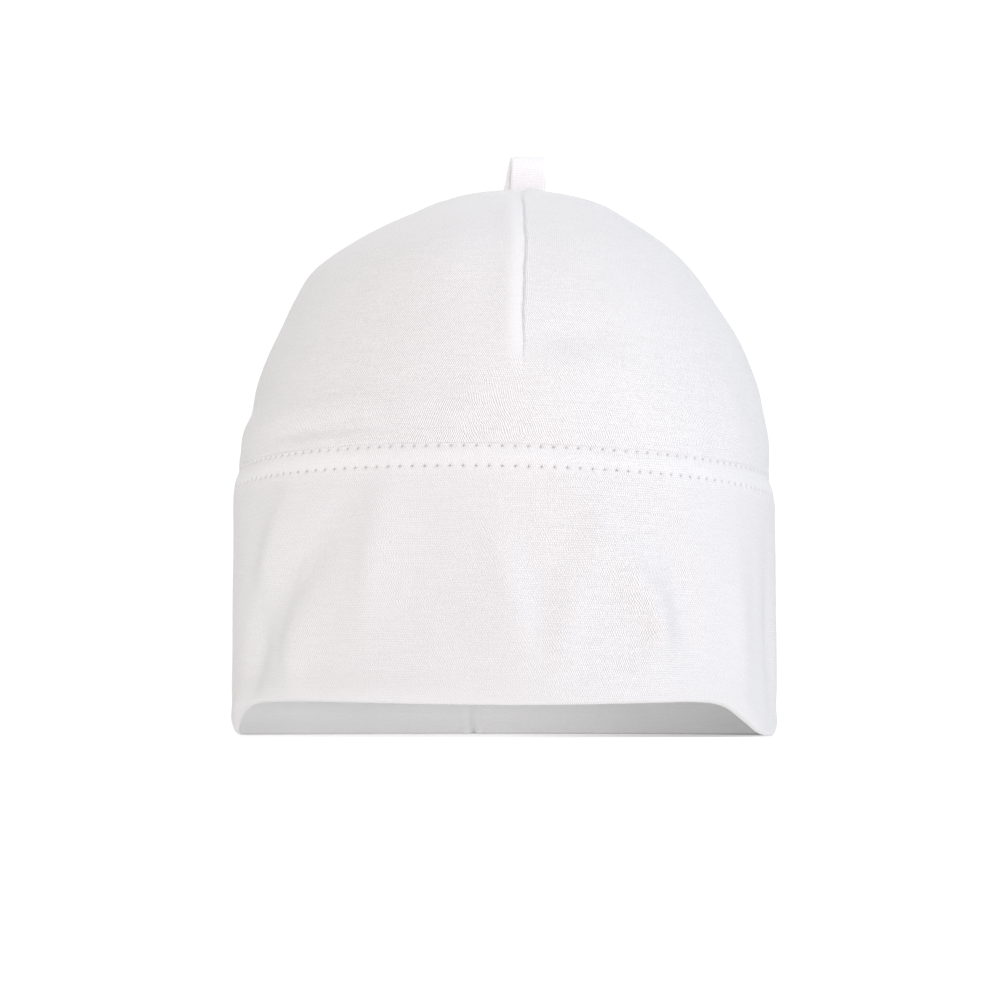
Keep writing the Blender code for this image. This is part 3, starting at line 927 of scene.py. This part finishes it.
class BEANIE_OT_threads(bpy.types.Operator):
    """Make the sewing threads: the stitches of both rows, and inside them the zigzag of the
    looper and the turns that whip the raw edge"""
    bl_idname = "beanie.threads"
    bl_label = "Threads"

    def execute(self, context):
        sizes = context.scene.beanie_sizes
        material = thread_finish("sewing_thread")
        for name, make in (("row_stitches", self.row_stitches), ("looper_thread", self.looper),
                           ("edge_thread", self.edge_turns)):
            points, faces = make(sizes)
            join_frame(sewn(name, points, faces), "band_jersey", material)
        return {"FINISHED"}

    def row_stitches(self, sizes):
        """Stitches from hole to hole outside, which dip into the holes."""
        (along, across, lift), faces = stitch_model(sizes.thread)
        holes, pitch = stitch_arcs(sizes)
        angles = angles_at(holes[:, None] + (0.5 + 0.94 * along) * pitch)
        insets = STITCH_INSET - lift + STITCH_DIP * np.abs(2 * along) ** 4
        rows = [band_points(sizes, angles, seam_heights(angles) - row + across, insets)
                for row in (sizes.row_drop, sizes.row_drop + sizes.row_gap)]
        return np.concatenate(rows), faces

    def looper(self, sizes):
        """Threads that run to and fro between the two rows over the seam allowance inside."""
        (along, across, lift), faces = stitch_model(sizes.thread)
        holes, pitch = stitch_arcs(sizes)
        upper, lower = sizes.row_drop + 0.2 * MM, sizes.row_drop + sizes.row_gap
        runs = []
        for begin, start, end in ((0.0, upper, lower), (0.5, lower, upper)):
            arcs = holes[:, None] + (begin + 0.25 + 0.5 * along) * pitch
            angles = angles_at(arcs + np.sign(start - end) * across)
            drop = (start + end) / 2 + (end - start) * along
            allowance = read_rows(ALLOWANCE_FACE, -drop / MM)[..., 0] * MM
            insets = allowance + 0.35 * sizes.thread + lift
            runs.append(band_points(sizes, angles, seam_heights(angles) - drop, insets))
        return np.concatenate(runs), faces

    def edge_turns(self, sizes):
        """Turns of thread round the raw edge of the seam allowance."""
        (along, out, up), faces = whip_model(WHIP_UP, WHIP_OUT, 0.6 * sizes.thread)
        girth = oval_arcs()[1][-1]
        starts = np.arange(round(girth / WHIP_PITCH)) * WHIP_PITCH
        angles = angles_at(starts[:, None] + along + WHIP_LEAN * up)
        heights = seam_heights(angles) - RAW_EDGE + WHIP_HEIGHT + up
        return band_points(sizes, angles, heights, WHIP_INSET + out), faces


def crease_angles(heights):
    """Angles of the four darts at heights of the crown."""
    wide, deep, shift_x, shift_y, _ = read_rows(CROWN_SECTIONS, heights).T
    front_y = (shift_y - deep) * HALF_DEPTH
    aside = FRONT_DART + FRONT_DART_LEAN * front_y - shift_x * HALF_WIDTH
    front = np.degrees(np.arcsin(aside / (wide * HALF_WIDTH)))
    return np.stack([front] + [np.full_like(front, dart) for dart in OTHER_DARTS], axis=-1)


def crown_columns(heights):
    """Angles of the crown's mesh columns at each height, close together at each dart, and the
    column in each dart's crease. Also the radius at each height."""
    near = np.array([-9.0, -7.2, -5.8, -4.7, -3.8, -3.1, -2.5, -2.0, -1.6, -1.25, -0.95, -0.7,
                     -0.48, -0.28, -0.12, 0.0, 0.12, 0.28, 0.48, 0.7, 0.95, 1.25, 1.6, 2.0, 2.6,
                     3.4, 4.4, 5.8, 7.6]) * MM
    plain, narrowest = 78, 22.0 * MM
    rows = read_rows(CROWN_SECTIONS, heights)
    radius = (rows[:, :1] * HALF_WIDTH + rows[:, 1:2] * HALF_DEPTH) / 2
    steps = np.degrees(near / np.maximum(radius, narrowest))
    darts = crease_angles(heights)
    shares = (np.arange(plain) + 1) / (plain + 1)
    parts, creases = [], []
    for i in range(4):
        creases.append(i * (len(near) + plain) + int(np.argmin(np.abs(near))))
        parts.append(darts[:, i:i + 1] + steps)
        start = darts[:, i] + steps[:, -1]
        end = darts[:, (i + 1) % 4] + (360.0 if i == 3 else 0.0) + steps[:, 0]
        parts.append(start[:, None] + (end - start)[:, None] * shares)
    return np.concatenate(parts, axis=1), creases, radius


def crown_heights(count):
    """Height shares of the crown's rings from the seam to the top, evenly spaced on the cloth."""
    dense = 1.0 - np.linspace(1.0, 0.0, 4000) ** 2 * (1.0 - CROWN_SECTIONS[0].height)
    reach = read_rows(CROWN_SECTIONS, dense)[:, 0] * HALF_WIDTH
    distances = walked(reach, dense * CROWN_RISE)
    return np.interp(np.linspace(0.0, distances[-1], count), distances, dense)


def dart_reach(sizes, heights):
    """How far up the darts a height of the crown is, from 0 at their feet to 1 at the top."""
    return np.maximum(0.0, 1.0 - (1.0 - heights) * CROWN_RISE / sizes.dart_drop)


def dart_valley(off, reach):
    """The wide shallow valley that a dart runs in."""
    return MM * ridge(off, DART_VALLEY) * np.sin(math.pi * reach) ** 2


def dart_distance(angles, dart, radius, heights):
    """Distance across the cloth from a dart's crease, which wavers a little."""
    waver = DART_WAVER * np.sin(62.0 * heights) * np.sin(23.0 * heights + 0.7)
    waver = waver + DART_BEND * bump(heights - BEND_HEIGHT, BEND_SPREAD)
    return np.radians(turn_between(angles, dart[:, None])) * radius - waver


def dart_rise(sizes, angles, radius, heights):
    """Relief of the darts: each is a narrow crease in a wide shallow valley that opens towards
    the top. On its left the cloth swells, ends in a lip and rolls in at the crease, and on the
    right of its top is the gathered cloth of the dart."""
    total = np.zeros(angles.shape)
    reach = dart_reach(sizes, heights)
    sharp = np.minimum(1.0, 7.0 * reach)
    below_top = 1.0 - ease(heights, 0.86, 0.95)
    swell = np.sin(math.pi * np.minimum(reach, 0.5)) * (1.0 - ease(heights, 0.80, 0.93))
    width = CREASE_WIDTH + CREASE_OPENING * ease(reach, 0.45, 0.9)
    for dart in crease_angles(heights[:, 0]).T:
        off = dart_distance(angles, dart, radius, heights)
        roll = np.where(off < 0.0, np.clip(1.0 + off / ROLL_LEFT, 0.0, 1.0) ** 2,
                        bump(off, ROLL_RIGHT))
        total += dart_valley(off, reach) + MM * ridge(off, DART_SWELL) * swell
        total += sizes.dart_lip * ridge(off, DART_LIP) * sharp * below_top
        total -= sizes.dart_roll * roll * ease(reach, 0.0, 0.35) * below_top
        total -= sizes.dart_depth * bump(off, width) * sharp
        total += sizes.dart_hump * ridge(off, DART_HUMP) * ease(heights, 0.90, 0.98)
    return total


class BEANIE_OT_crown(bpy.types.Operator):
    """Make the crown with its four darts and the edge tucked into the band"""
    bl_idname = "beanie.crown"
    bl_label = "Crown"

    def execute(self, context):
        sizes = context.scene.beanie_sizes
        outer_heights = crown_heights(118)
        outer = self.surface(sizes, outer_heights, 0.0)
        inner = self.surface(sizes, crown_heights(36), sizes.crown_cloth)
        angles, creases, radius = crown_columns(outer_heights)
        seam = seam_heights(angles[0])
        skirt = [band_points(sizes, angles[0], seam + row.up * MM, row.inset * MM, False)
                 for row in TUCKED_EDGE]
        rings = np.concatenate([inner[::-1], skirt, outer])
        left, right = self.flat_widths(rings, creases, len(inner) + len(skirt))
        along = walked(*rings[:, angles.shape[1] // 8].T)
        crown = woven("crown_cloth", rings, (left, right), along)
        mark(crown, "lean", self.lean(rings, angles))
        within = np.zeros(inner.shape[:2])
        tucked = np.zeros((len(skirt), angles.shape[1]))
        height = outer_heights[:, None]
        crease, beside = self.dart_shades(sizes, angles, radius, height, outer)
        clear = CROWN_KNIT - 0.09 * ease(height, 0.10, 0.35) - 0.20 * ease(height, 0.4, 0.85)
        clear = clear * (1.0 - 0.6 * beside)
        clear += patch(angles, CROWN_PATCH) * (1.0 - ease(height, 0.20, 0.45))
        clear = clear * (1.0 - 0.35 * ease(np.abs(turn_between(angles, 8.0)), 40.0, 70.0))
        # Painted shade down in the darts' creases
        mark(crown, "hole", np.vstack([within, tucked, crease]))
        mark(crown, "knit", np.vstack([within + INNER_CROWN_KNIT, tucked + clear[:1], clear]))
        # Painted light: a little over the whole crown, a painted highlight on the smooth ridge
        # beside each dart, and more on the dim inside
        pale = CROWN_PALE + 0.16 * beside
        mark(crown, "pale", np.vstack([within + INNER_PALE, tucked + CROWN_PALE, pale]))
        join_frame(crown, "crown_jersey", jersey("crown_jersey_cloth", 1.0, 0.15, 0.12), "crown")
        return {"FINISHED"}

    def flat_widths(self, rings, creases, seam_ring):
        """Distances across the flat cloth of both sides of each column of faces. Each of the
        four petals between two darts is measured from its own middle."""
        columns = rings.shape[1]
        steps = np.linalg.norm(np.diff(rings, axis=1, append=rings[:, :1]), axis=2)
        total = np.concatenate([np.zeros((len(rings), 1)), np.cumsum(steps, axis=1)], axis=1)
        left, right = total[:, :-1].copy(), total[:, 1:].copy()
        for i, crease in enumerate(creases):
            following = creases[(i + 1) % 4] + (columns if i == 3 else 0)
            members = np.arange(crease, following)
            middle = ((crease + following) // 2) % columns
            shift = total[seam_ring, middle] - total[:, middle]
            shift = shift[:, None] + np.where(members >= columns, total[:, -1:], 0.0)
            left[:, members % columns] += shift
            right[:, members % columns] += shift
        return left, right

    def lean(self, rings, angles):
        """Which way the strokes of yarn lean: 1 to the left, 0 to the right. It changes at the
        darts, and a little left of the front one below its foot."""
        foot = ease(rings[..., 2], SEAM_HEIGHT + 0.010, SEAM_HEIGHT + 0.022)
        edge = -12.0 + 12.0 * foot
        soft = 6.0 - 4.0 * foot
        turn = turn_between(angles[0][None, :], 4.0)
        front = ease(turn, edge - soft, edge + soft)
        back = ease(np.abs(turn), 176.0, 170.0)
        return front * back

    def dart_shades(self, sizes, angles, radius, heights, outer):
        """How much painted shade each point of the outer face gets down in the crease of a dart,
        where the gathered cloth closes over it here and there, and how much it lies on the smooth
        ridge beside it, where the cloth is stretched over the sewn fold and gets a painted
        highlight."""
        reach = dart_reach(sizes, heights)
        closed = 0.66 + crumple(outer * np.array([0.2, 0.2, 1.0]), CREASE_GAPS)
        width = 0.14 * MM * (1.0 + ease(reach, 0.5, 0.9))
        crease, beside = np.zeros(angles.shape), np.zeros(angles.shape)
        for dart in crease_angles(heights[:, 0]).T:
            off = dart_distance(angles, dart, radius, heights)
            crease += bump(off - 0.05 * MM, width)
            beside += ease(off, -4.6 * MM, -1.4 * MM) * ease(off, -0.1 * MM, -0.4 * MM)
        # Strength of the crease's painted shade, darkest near the dart's top
        shade = 0.10 + 0.4 * ease(reach, 0.92, 0.97)
        sharp = np.minimum(1.0, 7.0 * reach)
        faded = sharp * (1.0 - ease(reach, 0.70, 0.95))
        return np.clip(crease * closed * shade * sharp, 0.0, 1.0), beside * faded

    def surface(self, sizes, heights, inset):
        """Rings of the crown's outer face, or of its inner face with the darts' sewn folds."""
        angles, _, radius = crown_columns(heights)
        height = heights[:, None]
        wide, deep, shift_x, shift_y, square = read_rows(CROWN_SECTIONS, heights).T[..., None]
        x, y = oval(angles, wide * HALF_WIDTH, deep * HALF_DEPTH, square)
        rise = sizes.fold_relief * fold_rise(CROWN_FOLDS, CROWN_RISE, angles, height)
        rise *= np.minimum(1.0, 4.0 * (1.0 - height))
        place = np.stack(np.broadcast_arrays(x, y, height * CROWN_RISE), axis=-1)
        crumples = crumple(place, CROWN_CRUMPLES) * np.minimum(1.0, 8.0 * (1.0 - height))
        puckers = crumple(place * np.array([1.0, 1.0, 0.3]), CROWN_PUCKERS)
        rise += MM * (crumples + puckers * bump(height * CROWN_RISE, 9.0 * MM))
        if inset:
            reach = dart_reach(sizes, height)
            for dart in crease_angles(heights).T:
                off = np.radians(turn_between(angles, dart[:, None])) * radius
                folded = sizes.dart_allowance * ridge(off, DART_FOLD)
                rise += dart_valley(off, reach) + folded * np.minimum(1.0, 2.0 * reach)
        else:
            rise += dart_rise(sizes, angles, radius, height)
        lean = (seam_heights(angles) - SEAM_HEIGHT) * (1.0 - height)
        sunk = CAP_SINK * ease(height, 0.90, 0.985)
        aside = np.sqrt(1.0 - height)
        out_x, out_y = outward(angles)
        off = rise - inset
        return np.stack([x + shift_x * HALF_WIDTH + out_x * off * aside,
                         y + shift_y * HALF_DEPTH + out_y * off * aside,
                         SEAM_HEIGHT + lean + height * CROWN_RISE + off * (1.0 - aside) - sunk],
                        axis=-1)


class BEANIE_OT_hanging_loop(bpy.types.Operator):
    """Make the hanging loop, a strip folded over and sewn in where the darts meet"""
    bl_idname = "beanie.hanging_loop"
    bl_label = "Hanging loop"

    def execute(self, context):
        sizes = context.scene.beanie_sizes
        rise = LOOP_RISE - sizes.loop_cloth / 2
        front = [(0.0, -row.reach * sizes.loop_reach, row.height * rise) for row in LOOP_ROWS]
        back = [(sizes.loop_skew * (z / rise - 1.0), -y, z) for _, y, z in reversed(front)]
        path = np.array(front + [(0.0, 0.0, rise)] + back)
        distances = walked(*path.T)
        stations = np.linspace(0, distances[-1], 90)
        line = read_rows(np.column_stack([distances, path]), stations)
        tangent = np.gradient(line[:, 1:], axis=0)
        tangent /= np.linalg.norm(tangent, axis=1)[:, None]
        normal = np.stack([-tangent[:, 1], tangent[:, 0]], axis=-1)
        aside, depth, folded = self.folded_section(sizes)
        narrow = 1 - 0.08 * line[:, 2] / rise
        x = line[:, :1] + narrow[:, None] * aside
        y = line[:, 1:2] + normal[:, :1] * depth
        z = line[:, 2:] + normal[:, 1:] * depth
        z = z + 0.18 * MM * np.sin(x / (3.1 * MM) + 0.6) * ease(z, 0.8 * rise, rise)
        turned = np.array(Matrix.Rotation(sizes.loop_turn, 3, "Z"))
        seat = (SEAT_SHIFT[0] * HALF_WIDTH, SEAT_SHIFT[1] * HALF_DEPTH, LOOP_LOW.z - 0.4 * MM)
        points = np.stack([x, y, z], axis=-1) @ turned.T + np.array(seat)
        uv = np.stack(np.broadcast_arrays(folded[None, :], stations[:, None]), axis=-1)
        loop = strip("loop_strip", points, uv, sizes.loop_cloth / 2 - 0.08 * MM)
        mark(loop, "knit", np.full(len(loop.data.vertices), LOOP_KNIT))
        # Painted light: the loop is paler, also over its back leg, which lies in shade
        mark(loop, "pale", np.full(len(loop.data.vertices), LOOP_PALE))
        join_frame(loop, "loop_jersey", jersey("loop_jersey_cloth", 0.0, 0.20, 0.1), "loop")
        return {"FINISHED"}

    def folded_section(self, sizes):
        """Cross section of the strip, folded so that its two edges meet on the inner side:
        places aside and out of its middle line, and distances on the cloth."""
        half, fold = sizes.loop_width / 2, sizes.loop_cloth / 4
        side = half - fold
        turns = np.radians(np.linspace(0.0, 180.0, 9))
        inner = np.linspace(0.12 * MM, side, 12)[:-1]
        outer = np.linspace(side, -side, 24)[1:-1]
        aside = np.concatenate([inner, side + fold * np.sin(turns), outer,
                                -side - fold * np.sin(turns), -inner[::-1]])
        depth = np.concatenate([np.full(inner.size, -fold), -fold * np.cos(turns),
                                np.full(outer.size, fold), fold * np.cos(turns),
                                np.full(inner.size, -fold)])
        return aside, depth, walked(aside, depth)


class BEANIE_OT_stage(bpy.types.Operator):
    """Make the pale floor, the soft light and the camera"""
    bl_idname = "beanie.stage"
    bl_label = "Stage"

    def execute(self, context):
        settings = context.scene.beanie_stage
        self.make_floor(settings)
        self.make_sky(settings)
        self.make_lamps()
        self.make_camera(settings)
        context.scene.view_settings.view_transform = "Standard"
        return {"FINISHED"}

    def make_floor(self, settings):
        """A round floor that gives off light."""
        bpy.ops.object.select_all(action="DESELECT")
        bpy.ops.mesh.primitive_circle_add(vertices=96, radius=settings.floor_radius,
                                          fill_type="NGON", location=(0.0, 0.0, -0.1 * MM))
        floor = bpy.context.object
        floor.name = "floor"
        paper = Finish("floor_paper")
        paper.fix(Base_Color=(0.35, 0.35, 0.35, 1.0), Roughness=1.0, Specular_IOR_Level=0.0,
                  Emission_Color=(1.0, 0.99, 0.99, 1.0))
        glow = paper.times(self.floor_light(paper), settings.floor_glow)
        paper.join(glow, paper.shader.inputs["Emission Strength"])
        floor.data.materials.append(paper.material)

    def floor_light(self, paper):
        """Share of its full light that each part of the floor gives. Under the beanie it falls
        off from the middle to the right."""
        place = paper.place()
        shaded = paper.range(paper.parts(place)[0], 0.0, SHADE_RIGHT, 1.0, SHADE_LIGHT)
        reach = paper.add("ShaderNodeVectorMath", operation="LENGTH")
        within = paper.mapped(place, (1 / SHADE_WIDE, 1 / SHADE_DEEP, 0.0),
                              (0.0, -SHADE_MIDDLE / SHADE_DEEP, 0.0))
        paper.join(within, reach.inputs[0])
        outside = paper.range(reach.outputs["Value"], SHADE_EDGE, 1.0, 0.0, 1.0)
        return paper.math("MAXIMUM", shaded, outside)

    def make_sky(self, settings):
        """Even light from all sides, on a ground that the camera sees as white."""
        world = bpy.data.worlds.new("white_sky")
        bpy.context.scene.world = world
        world.use_nodes = True
        nodes, links = world.node_tree.nodes, world.node_tree.links
        background = nodes["Background"]
        rays = nodes.new("ShaderNodeLightPath")
        strength = nodes.new("ShaderNodeMapRange")
        strength.inputs["To Min"].default_value = settings.sky
        strength.inputs["To Max"].default_value = 1.05
        links.new(rays.outputs["Is Camera Ray"], strength.inputs["Value"])
        links.new(strength.outputs[0], background.inputs["Strength"])
        background.inputs["Color"].default_value = (1.0, 1.0, 1.0, 1.0)

    def make_lamps(self):
        """Soft lamps all round."""
        for lamp in LAMPS:
            light = bpy.data.lights.new(lamp.name, "AREA")
            light.size = LAMP_SIDE
            light.energy = lamp.watts
            light.color = lamp.colour
            holder = bpy.data.objects.new(lamp.name, light)
            bpy.context.scene.collection.objects.link(holder)
            holder.location = (lamp.x, lamp.y, lamp.z)
            aim = Vector(LAMP_AIM) - holder.location
            holder.rotation_euler = aim.to_track_quat("-Z", "Y").to_euler()

    def make_camera(self, settings):
        """The camera, level with the rim and looking up a little."""
        camera = bpy.data.cameras.new("camera")
        camera.lens = settings.lens
        camera.sensor_width = 36.0
        camera.clip_start = 0.01
        view = bpy.data.objects.new("camera", camera)
        view.location = CAMERA_PLACE
        view.rotation_euler = (math.pi / 2 + settings.tilt, 0.0, 0.0)
        bpy.context.scene.collection.objects.link(view)
        bpy.context.scene.camera = view


class BEANIE_PT_panel(bpy.types.Panel):
    """Lists the pieces of the beanie"""
    bl_label = "Baby beanie"
    bl_idname = "BEANIE_PT_panel"
    bl_space_type = "VIEW_3D"
    bl_region_type = "UI"
    bl_category = "Beanie"

    def draw(self, context):
        for operator in OPERATORS:
            self.layout.operator(operator.bl_idname)


OPERATORS = (BEANIE_OT_folded_band, BEANIE_OT_threads, BEANIE_OT_crown, BEANIE_OT_hanging_loop,
             BEANIE_OT_stage)
CLASSES = (BeanieSizes, BeanieColours, StageSettings, *OPERATORS, BEANIE_PT_panel)


def register():
    """Add the classes and the scene's settings."""
    for item in CLASSES:
        bpy.utils.register_class(item)
    bpy.types.Scene.beanie_sizes = PointerProperty(type=BeanieSizes)
    bpy.types.Scene.beanie_colours = PointerProperty(type=BeanieColours)
    bpy.types.Scene.beanie_stage = PointerProperty(type=StageSettings)


def unregister():
    """Remove what register added."""
    del bpy.types.Scene.beanie_stage
    del bpy.types.Scene.beanie_colours
    del bpy.types.Scene.beanie_sizes
    for item in reversed(CLASSES):
        bpy.utils.unregister_class(item)


def main():
    register()
    bpy.ops.beanie.folded_band()
    bpy.ops.beanie.threads()
    bpy.ops.beanie.crown()
    bpy.ops.beanie.hanging_loop()
    bpy.ops.beanie.stage()


if __name__ == "__main__":
    main()
